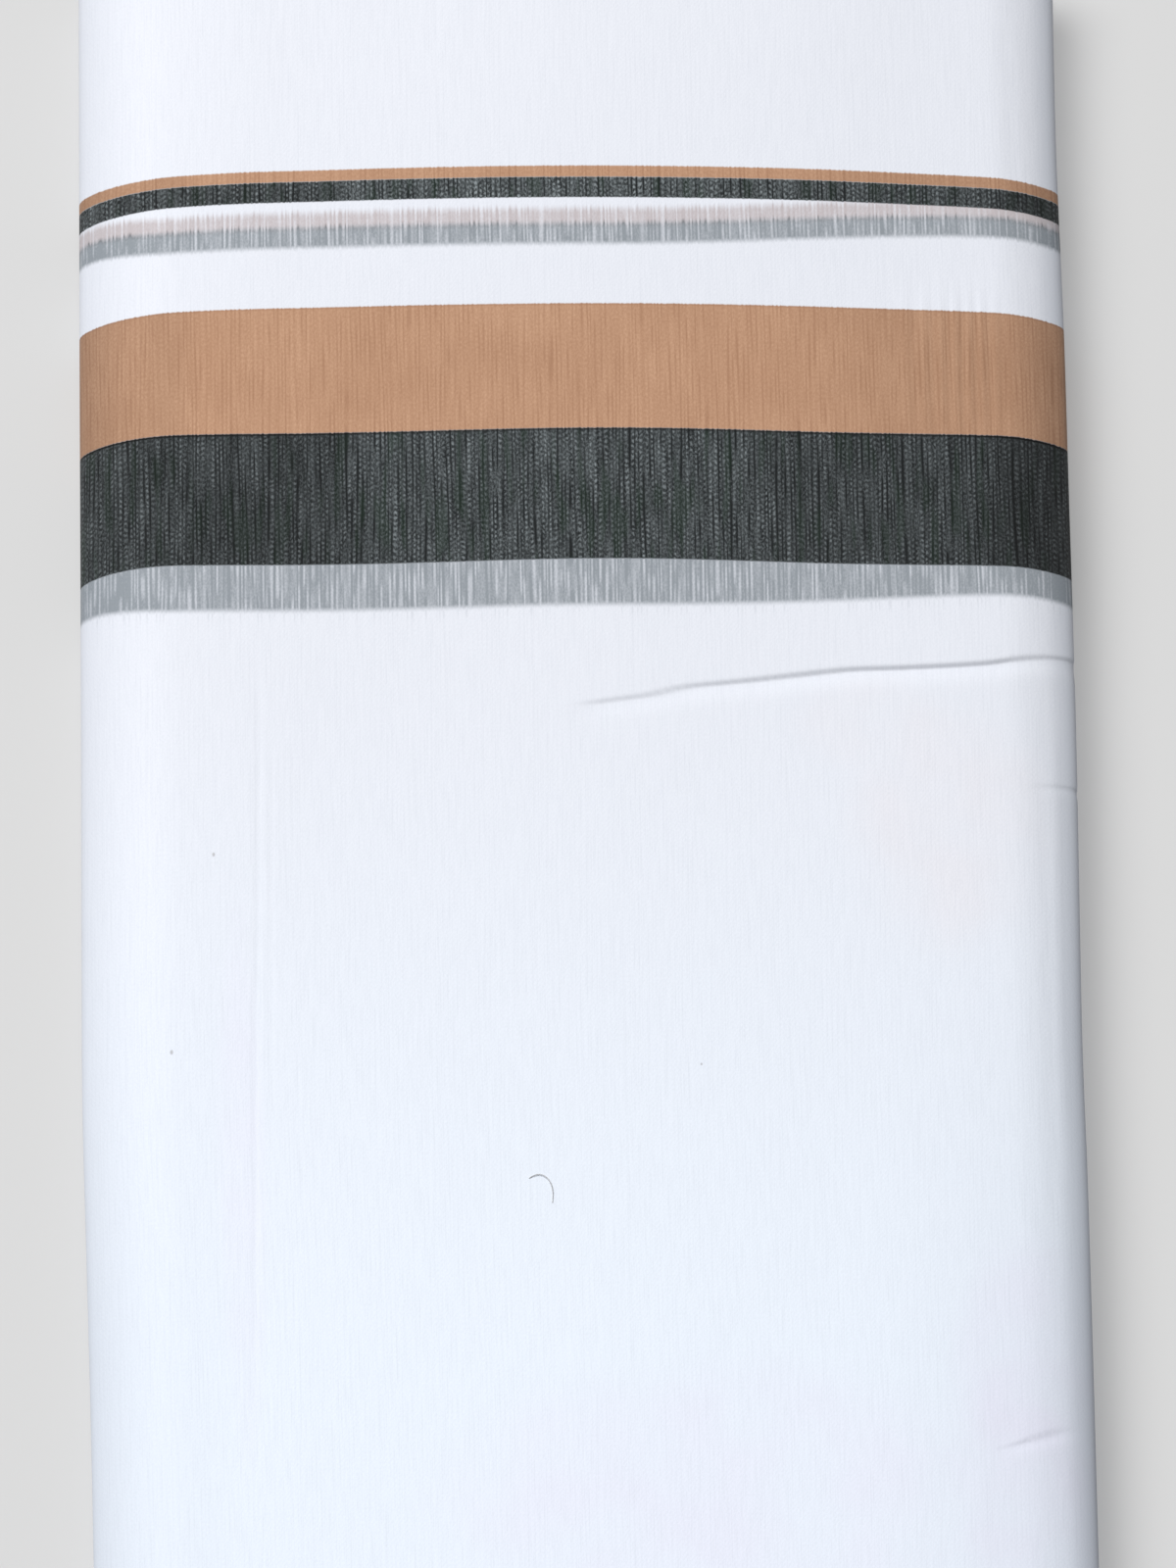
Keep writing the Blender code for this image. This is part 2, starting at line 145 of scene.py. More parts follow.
# How far the lower half stack comes out from under the upper one, at the right.
# (place along, shift to the right)
LOWER_SHIFT = (
    (-0.50 * LENGTH, LOWER_REACH),
    (-0.20 * LENGTH, 1.5 * MM),
    (0.02 * LENGTH, 0.2 * MM),
    (0.25 * LENGTH, -1.0 * MM),
    (0.50 * LENGTH, -1.6 * MM),
)
# How much of that the cloth of the upper half stack settles out over it. The stiff
# solids leave it out. (place along, share)
UPPER_SLUMP = (
    (-0.50 * LENGTH, 0.80),
    (-0.02 * LENGTH, 0.80),
    (0.03 * LENGTH, 0.0),
    (0.50 * LENGTH, 0.0),
)
# How far each nested fold stops short of the two ends, outermost fold first, in mm.
# (at the woven-edge end, at the doubled end)
LEFT_SETBACKS = (
    (0.0, 0.0), (1.2, 0.6), (0.4, 1.8), (2.6, 0.9), (1.4, 2.4), (3.2, 1.2), (0.9, 2.9), (2.2, 1.6),
)
UPPER_SETBACKS = ((0.4, 0.3), (2.0, 1.1), (0.8, 2.2), (2.8, 0.7))
# (the same for the bottom fold, the fold in it, the first fold, and the two cut ends)
LOWER_SETBACKS = ((0.6, 0.2), (1.8, 1.0), (2.5, 2.0), (3.6, 1.4), (1.0, 3.0))
LOWER_CHAIN = (0, 1, 1, 0, 2, 2, 3, 4)   # row of LOWER_SETBACKS for plies 0 to 7


class SmoothTable:
    """Reads a short table of (place, value) rows as one smooth curve."""

    def __init__(self, rows, column=1):
        self.places = np.array([row[0] for row in rows], dtype=float)
        self.values = np.array([row[column] for row in rows], dtype=float)
        self.slopes = np.gradient(self.values, self.places)

    def __call__(self, place):
        p = np.clip(np.asarray(place, dtype=float), self.places[0], self.places[-1])
        k = np.clip(np.searchsorted(self.places, p, side="right") - 1, 0, len(self.places) - 2)
        span = self.places[k + 1] - self.places[k]
        s = (p - self.places[k]) / span
        start = self.values[k] * (1 + 2 * s) * (1 - s) ** 2
        start = start + self.slopes[k] * span * s * (1 - s) ** 2
        end = self.values[k + 1] * s * s * (3 - 2 * s)
        end = end + self.slopes[k + 1] * span * s * s * (s - 1)
        return start + end


rounding_across = SmoothTable(HEIGHT_ACROSS, 1)
crown_across = SmoothTable(HEIGHT_ACROSS, 2)
crown_along = SmoothTable(CROWN_ALONG)
left_drift = SmoothTable(SIDE_DRIFT, 1)
right_drift = SmoothTable(SIDE_DRIFT, 2)
lower_shift = SmoothTable(LOWER_SHIFT)
upper_slump = SmoothTable(UPPER_SLUMP)

# ----- The cloth itself, and what shows on it -----

HALF_WALL = PLY_WALL / 2
SLIT_HALF = 0.10 * MM        # half the space between the two thicknesses of a ply
SLIT_END_HALF = 0.02 * MM    # the same where the slit ends
SLIT_DEPTH = 34 * MM         # how far the two thicknesses stand apart
UNDER_SETBACK = 12.0 * MM    # the under woven edge lies this much further in
SETBACK_REACH = 70 * MM      # the setbacks fade out over this much of the length
NOSE_STEPS = 6               # round the doubled edge
EDGE_ROUND = 0.12 * MM       # bevel of a woven edge
ROW_CLEARANCE = 0.3 * MM     # between a woven edge and the nearest row of the face
SLIT_ROWS = (6 * MM, UNDER_SETBACK, 20 * MM)   # rows inside the slit, from the edge

# How unevenly the plies end: (size, its pitch across, its pitch up the stack, phase)
EDGE_WANDER = (
    (0.35 * MM, 23 * MM, 3.1 * MM, 0.0),
    (0.25 * MM, 9 * MM, 1.9 * MM, 1.0),
)
WANDER_SUM = sum(size for size, *_ in EDGE_WANDER)
# How the free woven edges ripple: (size, its pitch across, phase of the two thicknesses)
EDGE_RIPPLE = (
    (0.07 * MM, 11 * MM, 1.4),
    (0.035 * MM, 4.3 * MM, 2.3),
)
PUCKER_HEIGHT = 0.085        # mm, of the narrow puckers in the wide tan band
PUCKERS_ACROSS = (72.0, 121.0, 20.0)     # mm: from, to, and how softly they end
PUCKERS_ALONG = (101.0, 144.0, 6.0)
FACE_FROM = 0.35             # share of the stack's height from which its bends begin to
FACE_OVER = 0.30             # take the creases of the face, and over which they do so

# Creases on the face, in mm: across from the middle of the face, and along from
# the woven edge. A crease is a soft ridge, or a trough where the height is negative.
# (height, half width on its woven-edge side, on its other side, fade at its start,
# fade at its end, points)
MAIN_CREASE = (
    (-2.0, 218.7), (9.0, 217.0), (18.5, 215.8), (26.4, 213.4), (39.0, 212.4), (57.0, 210.2),
    (68.0, 208.9), (76.5, 209.0), (99.0, 207.9), (108.5, 206.0), (119.5, 203.4), (124.5, 203.0),
)
LOW_CREASE = ((97.0, 430.4), (108.0, 426.4), (118.0, 420.8))
SIDE_CREASE = ((108.0, 243.2), (116.5, 240.6), (124.0, 239.4))
FACE_CREASES = (
    (-0.44, 0.74, 3.6, 8.0, 3.0, MAIN_CREASE),
    (-0.38, 0.70, 3.0, 70.0, 24.0, MAIN_CREASE),
    (-0.34, 0.56, 2.2, 12.0, 8.0, LOW_CREASE),
    (-0.22, 0.55, 1.8, 11.0, 1.0, SIDE_CREASE),
    (-0.11, 0.8, 0.8, 50.0, 80.0, ((-78.6, 186.0), (-78.9, 266.0), (-80.7, 349.0), (-83, 440.0))),
    (-0.05, 0.6, 0.6, 40.0, 40.0, ((-75.5, 210.0), (-76, 300.0), (-76.5, 360.0))),
    (0.10, 0.8, 0.8, 20.0, 20.0, ((112.5, 20.0), (113.5, 60.0), (113.2, 92.0))),
    (-0.12, 1.0, 1.0, 20.0, 20.0, ((110.0, 15.0), (110.8, 55.0), (110.4, 84.0))),
    (0.10, 0.7, 0.7, 30.0, 30.0, ((116.0, 210.0), (116.8, 290.0), (116.2, 350.0))),
    (-0.10, 0.9, 0.9, 30.0, 30.0, ((113.6, 230.0), (114.4, 300.0), (113.8, 380.0))),
)
# The same for the underside, where a crease can only be a trough, and is placed
# across from the middle of the stack.
UNDER_CREASES = (
    (-0.30, 1.1, 1.6, 26.0, 18.0, ((-96, 150.0), (-60, 157.0), (-22, 152.0), (12, 158.0))),
    (-0.24, 1.0, 1.4, 20.0, 20.0, ((18, 402.0), (52, 396.0), (88, 399.0))),
    (-0.18, 0.8, 0.8, 40.0, 40.0, ((58, 230.0), (57, 330.0), (59, 470.0))),
)


def ply_middle(ply):
    """Height of the middle of a ply in the even stack."""
    return ply * PLY_PITCH + HALF_WALL


def settle(x, y, z):
    """Arrays of points of the even stack, moved to their places in the real one."""
    height = EVEN_HEIGHT + rounding_across(x) + crown_across(x) * crown_along(y)
    share = np.clip((x - LEFT) / STACK_WIDTH, 0.0, 1.0)
    shift = left_drift(y) * (1 - share) + right_drift(y) * share
    beyond = np.maximum((x - SPLIT_X) / (RIGHT - SPLIT_X), 0.0)
    slump = np.clip(upper_slump(y), 0.0, 1.0)
    shift = shift + beyond * lower_shift(y) * np.where(z < EVEN_HEIGHT / 2, 1.0, slump)
    return x + shift, y, np.maximum(z * height / EVEN_HEIGHT, 0.0)


class FoldPath:
    """The middle line of a stretch of cloth, as the folded stack carries it.

    It is walked with straight runs along a ply and half turns to another ply. The
    face of the cloth lies on the right-hand side of the walk, seen from the far end.
    """

    def __init__(self):
        self.points = []
        self.normals = []
        self.plies = []

    def add(self, x, z, normal_x, normal_z, ply):
        """One point of the line, the way its face looks, and its ply."""
        self.points.append((x, z))
        self.normals.append((normal_x, normal_z))
        self.plies.append(ply)

    def run(self, places, ply):
        """Along a ply, through the given places across the stack."""
        side = -1.0 if places[-1] > places[0] else 1.0
        for x in places:
            self.add(x, ply_middle(ply), 0.0, side, ply)

    def turn(self, fold, from_ply, to_ply, steps, outward):
        """A pressed fold at one side of the stack. fold is where it starts across
        the stack, and its spread. outward is 1 where the face of the cloth is on
        the outer side of the bend, and -1 where it is inside."""
        x, spread = fold
        side = -1.0 if x < 0 else 1.0
        middle = (ply_middle(from_ply) + ply_middle(to_ply)) / 2
        radius = abs(ply_middle(to_ply) - ply_middle(from_ply)) / 2
        rise = 1.0 if to_ply > from_ply else -1.0
        for i in range(1, steps):
            angle = math.pi * (i / steps - 0.5)
            across, up = side * math.cos(angle), rise * math.sin(angle)
            place = x + (BEND_STRETCH * radius + spread) * across
            ply = from_ply if i < steps / 2 else to_ply
            normal_x, normal_z = outward * BEND_STRETCH * across, outward * up
            self.add(place, middle + radius * up, normal_x, normal_z, ply)

    def lengths(self):
        """Length along the path at each of its points."""
        steps = np.linalg.norm(np.diff(np.array(self.points), axis=0), axis=1)
        return np.concatenate(([0.0], np.cumsum(steps)))


# The full fold at the left: where it starts across the stack, and its spread.
LEFT_FOLD = (LEFT + BEND_STRETCH * EVEN_HEIGHT / 2 + LEFT_SPREAD, LEFT_SPREAD)


def right_fold(from_ply, to_ply):
    """The same for the fold between two plies at the right-hand side."""
    if min(from_ply, to_ply) >= UPPER_FIRST:
        plies, spread, set_in = TOP_PLY - UPPER_FIRST, UPPER_SPREAD, 0.0
    elif max(from_ply, to_ply) <= LOWER_TURN:
        plies, spread, set_in = LOWER_TURN, LOWER_SPREAD, 0.0
    else:
        plies, spread, set_in = 1, INNER_SPREAD, INNER_FOLD_SETBACK
    height = plies * PLY_PITCH + PLY_WALL
    return (RIGHT - set_in - BEND_STRETCH * height / 2 - spread, spread)


def spaced(start, stop, pitch):
    """Places from start to stop, about a pitch apart."""
    count = max(2, int(round(abs(stop - start) / pitch)) + 1)
    return list(np.linspace(start, stop, count))


def thinned(places, least):
    """The places in order, without those that are nearly on the one before."""
    ordered = sorted(places)
    return [p for k, p in enumerate(ordered) if k == 0 or p - ordered[k - 1] > least]


def setback(ply, x, column):
    """How far a ply stops short of an end. Column 0 is the woven-edge end."""
    at_left = LEFT_SETBACKS[min(ply, TOP_PLY - ply)][column]
    if ply >= UPPER_FIRST:
        at_right = UPPER_SETBACKS[min(ply - UPPER_FIRST, TOP_PLY - ply)][column]
    else:
        at_right = LOWER_SETBACKS[LOWER_CHAIN[ply]][column]
    share = min(max((x - LEFT) / (RIGHT - LEFT), 0.0), 1.0)
    return (at_left + (at_right - at_left) * share) * MM


def profile(face_rows, back_rows):
    """The closed outline of a doubled ply, seen from its side.

    It runs round the doubled edge, along the face to the woven edge, back into the
    slit between the two thicknesses, out to the under woven edge, and back. Each
    row is (place along, height over the middle of the ply, 1 on the face and -1 on
    the back, 1 where the two thicknesses can part and 0 where they can't).
    """
    near = -LENGTH / 2
    far = LENGTH / 2
    under = far - UNDER_SETBACK
    slit_end = far - SLIT_DEPTH
    rows = []
    for i in range(NOSE_STEPS + 1):
        angle = math.pi * (i / NOSE_STEPS - 0.5)
        y = near + HALF_WALL * (1 - math.cos(angle))
        rows.append((y, HALF_WALL * math.sin(angle), math.sin(angle), 0.0))
    face = [y for y in face_rows if near + 2 * HALF_WALL < y < far - ROW_CLEARANCE]
    rows += [(y, HALF_WALL, 1.0, 1.0) for y in face]
    rows += [
        (far - EDGE_ROUND, HALF_WALL, 1.0, 1.0),
        (far, HALF_WALL - EDGE_ROUND, 1.0, 1.0),
        (far, SLIT_HALF + EDGE_ROUND, 1.0, 1.0),
        (far - EDGE_ROUND, SLIT_HALF, 1.0, 1.0),
    ]
    rows += [(far - inside, SLIT_HALF, 1.0, 1.0) for inside in SLIT_ROWS]
    rows += [
        (slit_end, SLIT_END_HALF, 1.0, 0.0),
        (slit_end, -SLIT_END_HALF, -1.0, 0.0),
        (far - SLIT_ROWS[-1], -SLIT_HALF, -1.0, 1.0),
        (under - EDGE_ROUND, -SLIT_HALF, -1.0, 1.0),
        (under, -SLIT_HALF - EDGE_ROUND, -1.0, 1.0),
        (under, -HALF_WALL + EDGE_ROUND, -1.0, 1.0),
        (under - EDGE_ROUND, -HALF_WALL, -1.0, 1.0),
    ]
    back = [y for y in back_rows if near + 2 * HALF_WALL < y < under - ROW_CLEARANCE]
    rows += [(y, -HALF_WALL, -1.0, 1.0) for y in reversed(back)]
    return np.array(rows)


def rounded(points):
    """A line through the given points, with its corners cut twice."""
    pts = np.array(points, dtype=float)
    for _ in range(2):
        near = 0.75 * pts[:-1] + 0.25 * pts[1:]
        far = 0.25 * pts[:-1] + 0.75 * pts[1:]
        cut = np.stack([near, far], axis=1).reshape(-1, 2)
        pts = np.concatenate([pts[:1], cut, pts[-1:]])
    return pts


def crease_relief(u, v, creases):
    """Height of the creases at points of the cloth, all in mm."""
    relief = np.zeros_like(u)
    for height, width_before, width_after, fade_in, fade_out, points in creases:
        pts = rounded(points)
        spans = np.linalg.norm(np.diff(pts, axis=0), axis=1)
        starts = np.concatenate(([0.0], np.cumsum(spans)))
        best = np.full(u.shape, np.inf)
        place = np.zeros_like(u)
        after = np.zeros(u.shape, dtype=bool)
        for k, span in enumerate(spans):
            direction = (pts[k + 1] - pts[k]) / span
            off_u, off_v = u - pts[k, 0], v - pts[k, 1]
            along = np.clip(off_u * direction[0] + off_v * direction[1], 0.0, span)
            off = np.hypot(off_u - along * direction[0], off_v - along * direction[1])
            nearer = off < best
            best = np.where(nearer, off, best)
            place = np.where(nearer, starts[k] + along, place)
            after = np.where(nearer, direction[0] * off_v > direction[1] * off_u, after)
        fade = np.clip(place / fade_in, 0, 1) * np.clip((starts[-1] - place) / fade_out, 0, 1)
        fade = fade * fade * (3 - 2 * fade)
        width = np.where(after, width_after, width_before)
        relief += height * fade * np.exp(-((best / width) ** 2))
    return relief


def window(value, low, high, soft):
    """1 between low and high and 0 outside them, with a soft rise and fall."""
    share = np.clip((value - low) / soft, 0, 1) * np.clip((high - value) / soft, 0, 1)
    return share * share * (3 - 2 * share)


def soft_waves(u, v):
    """The slow unevenness of pressed cloth, and the narrow puckers of the wide tan
    band near the right-hand side: heights in mm, at points in mm."""
    wave = 0.055 * np.sin(u / 19.0 + 0.8 * np.sin(v / 83.0))
    wave += 0.045 * np.sin(v / 47.0 + 1.3 * np.sin(u / 61.0) + 0.6)
    wave += 0.030 * np.sin((u + 0.35 * v) / 13.0 + 2.1)
    pucker = np.sin(u / 0.62 + 1.7 * np.sin(u / 5.3) + 0.5 * np.sin(v / 17.0))
    wave += PUCKER_HEIGHT * pucker * window(u, *PUCKERS_ACROSS) * window(v, *PUCKERS_ALONG)
    return wave


def set_back(path, y):
    """Places along the cloth, moved in by the setbacks of their plies near both ends."""
    far_share = np.clip((y - (LENGTH / 2 - SETBACK_REACH)) / SETBACK_REACH, 0, 1) ** 2
    near_share = np.clip((-LENGTH / 2 + SETBACK_REACH - y) / SETBACK_REACH, 0, 1) ** 2
    far_back = np.array([setback(p, x, 0) for p, (x, z) in zip(path.plies, path.points)])
    near_back = np.array([setback(p, x, 1) for p, (x, z) in zip(path.plies, path.points)])
    across, up = np.array(path.points).T
    uneven = np.full(len(across), WANDER_SUM)
    for size, pitch_across, pitch_up, phase in EDGE_WANDER:
        uneven += size * np.sin(across / pitch_across + up / pitch_up + phase)
    moved_in = far_share * (far_back + uneven)[:, None]
    return y - moved_in + near_share * (near_back + uneven)[:, None]


def shell_mesh(name, points, cloth_places):
    """A closed shell over a grid of points: a row at each point of the path, and a
    column for each row of the profile. It keeps the cloth's own measures as a UV map."""
    rows, cols = points.shape[:2]
    faces = []
    for i in range(rows - 1):
        for j in range(cols):
            k = (j + 1) % cols
            faces.append((i * cols + j, i * cols + k, (i + 1) * cols + k, (i + 1) * cols + j))
    faces.append(tuple(range(cols - 1, -1, -1)))
    faces.append(tuple((rows - 1) * cols + j for j in range(cols)))
    mesh = bpy.data.meshes.new(name)
    mesh.from_pydata([tuple(p) for p in points.reshape(-1, 3)], [], faces)
    layer = mesh.uv_layers.new(name=CLOTH_MEASURE)
    corners = np.empty(len(mesh.loops), dtype=np.int64)
    mesh.loops.foreach_get("vertex_index", corners)
    layer.data.foreach_set("uv", cloth_places.reshape(-1, 2)[corners].ravel())
    data = bmesh.new()
    data.from_mesh(mesh)
    bmesh.ops.recalc_face_normals(data, faces=data.faces)
    data.to_mesh(mesh)
    data.free()
    return mesh


def smooth_piece(name, mesh):
    """An object for a mesh of cloth, smooth but for its edges."""
    mesh.shade_smooth()
    mesh.set_sharp_from_angle(angle=SHARP_ANGLE)
    return placed(name, mesh)


def placed(name, data):
    """A new object of the scene, for a mesh, a curve, a light or a camera."""
    thing = bpy.data.objects.new(name, data)
    bpy.context.scene.collection.objects.link(thing)
    return thing


def sweep(name, path, face_rows, back_rows, u_zero=None, u_sign=1.0, relief=None):
    """A stretch of doubled cloth along a path, as one closed thin shell.

    face_rows, back_rows: places along the cloth where its two sides have a row.
    u_zero: length along the path where the cloth's own measure u is 0.
    relief: adds the creases, given u and v in mm and the points of the path.
    """
    outline = profile(face_rows, back_rows)
    side, can_ripple = outline[None, :, 2], outline[None, :, 3]
    centre = np.array(path.points)
    normal = np.array(path.normals)
    lengths = path.lengths()
    u = u_sign * (lengths - (lengths[-1] / 2 if u_zero is None else u_zero))
    u = np.repeat(u[:, None], len(outline), axis=1)
    v = np.repeat(outline[None, :, 0], len(centre), axis=0)
    lift = np.repeat(outline[None, :, 1], len(centre), axis=0)

    free = can_ripple * np.clip((v - (LENGTH / 2 - SLIT_DEPTH)) / SLIT_DEPTH, 0, 1)
    ripple = np.zeros_like(u)
    for size, pitch, phase in EDGE_RIPPLE:
        ripple += size * np.sin(u / pitch + side * phase)
    lift = lift + ripple * free
    if relief is not None:
        # Creases lie on the flat of the face, not on the doubled edge or in the slit.
        on_face = (side > 0.99) & (outline[None, :, 1] > 0.9 * HALF_WALL)
        height = relief(u / MM, (LENGTH / 2 - v) / MM, centre)
        lift = lift + np.where(on_face, height * MM, 0.0)

    x_even = centre[:, 0:1] + normal[:, 0:1] * lift
    z_even = centre[:, 1:2] + normal[:, 1:2] * lift
    points = np.stack(settle(x_even, set_back(path, v), z_even), axis=-1)
    from_edge = LENGTH / 2 - v - UNDER_SETBACK * (1 - side) / 2
    mesh = shell_mesh(name, points, np.stack([u, from_edge], axis=-1))
    return smooth_piece(name, mesh), float(lengths[-1])


# ----- The pieces -----

COARSE_ROWS = spaced(-LENGTH / 2, LENGTH / 2, 24 * MM)
RETURN_START = SPLIT_X + 0.02 * MM
CUT_HEM = 6 * MM             # width of the narrow turned hem at a cut end
HEM_CLEARANCE = 0.4 * MM     # between the hem and the last place before it
HEM_STEP = 0.3 * MM          # the hem rises over this much of the cloth
HEM_HEIGHT = 0.09            # mm

# How far apart the places across lie, and the rows of the face.
UPPER_RETURN_PITCH = 3 * MM
RETURN_PITCH = 4 * MM
UNDERSIDE_PITCH = 3.5 * MM
FACE_PITCH = 2.4 * MM
FACE_ROW_PITCH = 5 * MM
HEM_PITCH = 1 * MM
HIDDEN_PITCH = 9 * MM
HIDDEN_TURN_STEPS = 10       # of a turn inside the stack, and one more for each ply

# Rows along the face and places across it, closer together where a crease runs, in
# mm: (from, to, pitch). The rows are measured from the woven edge.
CLOSE_ROWS = ((200, 222, 0.25), (236, 246, 0.4), (420, 432, 0.4))
CLOSE_PLACES = ((-86, -73, 0.55), (80, 118, 0.6))
WOVEN_EDGE_ROWS = (1.5, 3.0, 6.0, 10.0)


def face_rows():
    """Rows of the outer ply: close together where a crease runs across them."""
    rows = set(spaced(-LENGTH / 2, LENGTH / 2, FACE_ROW_PITCH))
    for near, far, pitch in CLOSE_ROWS:
        rows.update(LENGTH / 2 - d * MM for d in spaced(near, far, pitch))
    rows.update(LENGTH / 2 - d * MM for d in WOVEN_EDGE_ROWS)
    return thinned(rows, least=0.2 * MM)


def face_places(start, stop):
    """Places across the face, close together at the creases that run along it."""
    places = set(spaced(start, stop, FACE_PITCH))
    for low, high, pitch in CLOSE_PLACES:
        places.update(x * MM for x in spaced(low, high, pitch) if start < x * MM < stop)
    return thinned(places, least=0.25 * MM)


def wrap_relief(u, along, centre):
    """Creases and soft waves on the top of the outer ply, and creases under it."""
    x = np.repeat(centre[:, 0:1] / MM, u.shape[1], axis=1)
    z = np.repeat(centre[:, 1:2], u.shape[1], axis=1)
    top = np.clip((z / EVEN_HEIGHT - FACE_FROM) / FACE_OVER, 0, 1)
    under = z < PLY_WALL
    relief = top * (crease_relief(u, along, FACE_CREASES) + soft_waves(u, along))
    return np.where(under, crease_relief(x, along, UNDER_CREASES), relief)


def make_outer_wrap():
    """The face, the left-hand bend, the underside and the two bends at the right."""
    upper = right_fold(UPPER_FIRST, TOP_PLY)
    lower = right_fold(0, LOWER_TURN)
    path = FoldPath()
    path.run(spaced(RETURN_START, upper[0], UPPER_RETURN_PITCH), UPPER_FIRST)
    path.turn(upper, UPPER_FIRST, TOP_PLY, steps=30, outward=1)
    path.run(face_places(LEFT_FOLD[0], upper[0])[::-1], TOP_PLY)
    path.turn(LEFT_FOLD, TOP_PLY, 0, steps=44, outward=1)
    path.run(spaced(LEFT_FOLD[0], lower[0], UNDERSIDE_PITCH), 0)
    path.turn(lower, 0, LOWER_TURN, steps=20, outward=1)
    path.run(spaced(lower[0], RETURN_START, RETURN_PITCH), LOWER_TURN)
    lengths = path.lengths()
    on_top = [k for k, ply in enumerate(path.plies) if ply == TOP_PLY]
    middle = min(on_top, key=lambda k: abs(path.points[k][0]))
    u_zero = lengths[middle] + path.points[middle][0]
    piece, length = sweep("face_cloth", path, face_rows(), COARSE_ROWS, u_zero, -1.0, wrap_relief)
    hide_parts("outer_wrap")
    return piece


def make_inner_fold():
    """The first fold of the cloth, between the two half stacks."""
    lower, upper = INNER_FOLD_PLY, INNER_FOLD_PLY + 1
    fold = right_fold(lower, upper)
    path = FoldPath()
    path.run(spaced(RETURN_START, fold[0], RETURN_PITCH), lower)
    path.turn(fold, lower, upper, steps=12, outward=1)
    path.run(spaced(fold[0], RETURN_START, RETURN_PITCH), upper)
    piece, length = sweep("first_fold", path, COARSE_ROWS, COARSE_ROWS)
    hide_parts("inner_fold")
    return piece


def make_cut_end(name, node, ply, direction):
    """One cut end of the cloth with its narrow hem, as far in as it can be seen."""
    stop = RIGHT - CUT_END_SETBACKS[ply]
    hem_start = stop - CUT_HEM
    places = spaced(RETURN_START, hem_start - HEM_CLEARANCE, RETURN_PITCH)
    places += spaced(hem_start, stop, HEM_PITCH)
    path = FoldPath()
    path.run(places[::direction], ply)

    def hem(u, along, centre):
        return HEM_HEIGHT * np.clip((centre[:, 0:1] - hem_start) / HEM_STEP, 0, 1)

    piece, length = sweep(name, path, COARSE_ROWS, COARSE_ROWS, relief=hem)
    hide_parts(node)
    return piece


def join(name, pieces):
    """Several pieces as one object, with their faces and cloth measures kept."""
    data = bmesh.new()
    for piece in pieces:
        data.from_mesh(piece.data)
        mesh = piece.data
        bpy.data.objects.remove(piece, do_unlink=True)
        bpy.data.meshes.remove(mesh)
    mesh = bpy.data.meshes.new(name)
    data.to_mesh(mesh)
    data.free()
    return smooth_piece(name, mesh)


def make_hidden_plies():
    """Every ply inside the outer one, in the three stretches that the folding leaves.

    A row is a ply and the way it is walked, 1 to the right and -1 to the left. The
    face of the cloth is up where a ply is walked to the left.
    """
    stretches = (
        ((7, -1), (8, 1)),
        ((3, -1), (12, 1), (11, -1), (4, 1)),
        ((5, -1), (10, 1), (13, -1), (2, 1), (1, -1), (14, 1), (9, -1), (6, 1)),
    )
    parts = []
    for number, stretch in enumerate(stretches):
        path = FoldPath()
        for k, (ply, way) in enumerate(stretch):
            fold = (SPLIT_X, 0.0)
            if way == 1 and k + 1 < len(stretch):
                fold = right_fold(ply, stretch[k + 1][0])
            elif way == -1 and k > 0:
                fold = right_fold(stretch[k - 1][0], ply)
            places = spaced(LEFT_FOLD[0], fold[0], HIDDEN_PITCH)
            path.run(places[::way], ply)
            if k + 1 == len(stretch):
                continue
            following = stretch[k + 1][0]
            outward = 1 if (way == -1) == (following < ply) else -1
            steps = HIDDEN_TURN_STEPS + abs(following - ply)
            path.turn(fold if way == 1 else LEFT_FOLD, ply, following, steps, outward)
        part, length = sweep(f"stretch_{number}", path, COARSE_ROWS, COARSE_ROWS)
        parts.append(part)
    piece = join("hidden_plies", parts)
    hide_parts("hidden_layers")
    return piece


# A loose fibre that lies on the face: across from its middle and from the woven
# edge, in mm, with its height over the cloth.
FIBRE_POINTS = (
    (-13.9, 351.8, 0.08), (-12.8, 351.2, 0.26), (-11.4, 350.9, 0.38), (-9.8, 351.6, 0.38),
    (-8.7, 353.3, 0.34), (-8.2, 355.4, 0.28), (-8.2, 357.5, 0.16), (-8.3, 358.8, 0.08),
)
FIBRE_RADIUS = 0.10 * MM


def face_point(across, along, lift):
    """A point over the face, from its place on the cloth, all in mm."""
    x = np.array([across * MM])
    y = np.array([LENGTH / 2 - along * MM])
    wave = soft_waves(np.array([across]), np.array([along])) * MM
    x, y, z = settle(x, y, EVEN_HEIGHT + wave)
    return Vector((float(x[0]), float(y[0]), float(z[0]) + lift * MM))


def make_fibre():
    """The loose fibre, curled like a hook."""
    curve = bpy.data.curves.new("stray_fibre", "CURVE")
    curve.dimensions = "3D"
    curve.bevel_depth = FIBRE_RADIUS
    curve.bevel_resolution = 2
    curve.use_fill_caps = True
    curve.resolution_u = 6
    spline = curve.splines.new("BEZIER")
    spline.bezier_points.add(len(FIBRE_POINTS) - 1)
    for knot, (across, along, lift) in zip(spline.bezier_points, FIBRE_POINTS):
        knot.co = face_point(across, along, lift)
        knot.handle_left_type = knot.handle_right_type = "AUTO"
    guide = placed("stray_fibre_guide", curve)
    state = bpy.context.evaluated_depsgraph_get()
    mesh = bpy.data.meshes.new_from_object(guide.evaluated_get(state))
    bpy.data.objects.remove(guide, do_unlink=True)
    mesh.name = "stray_fibre"
    mesh.shade_smooth()
    fibre = placed("stray_fibre", mesh)
    return fibre


# ----- Materials -----

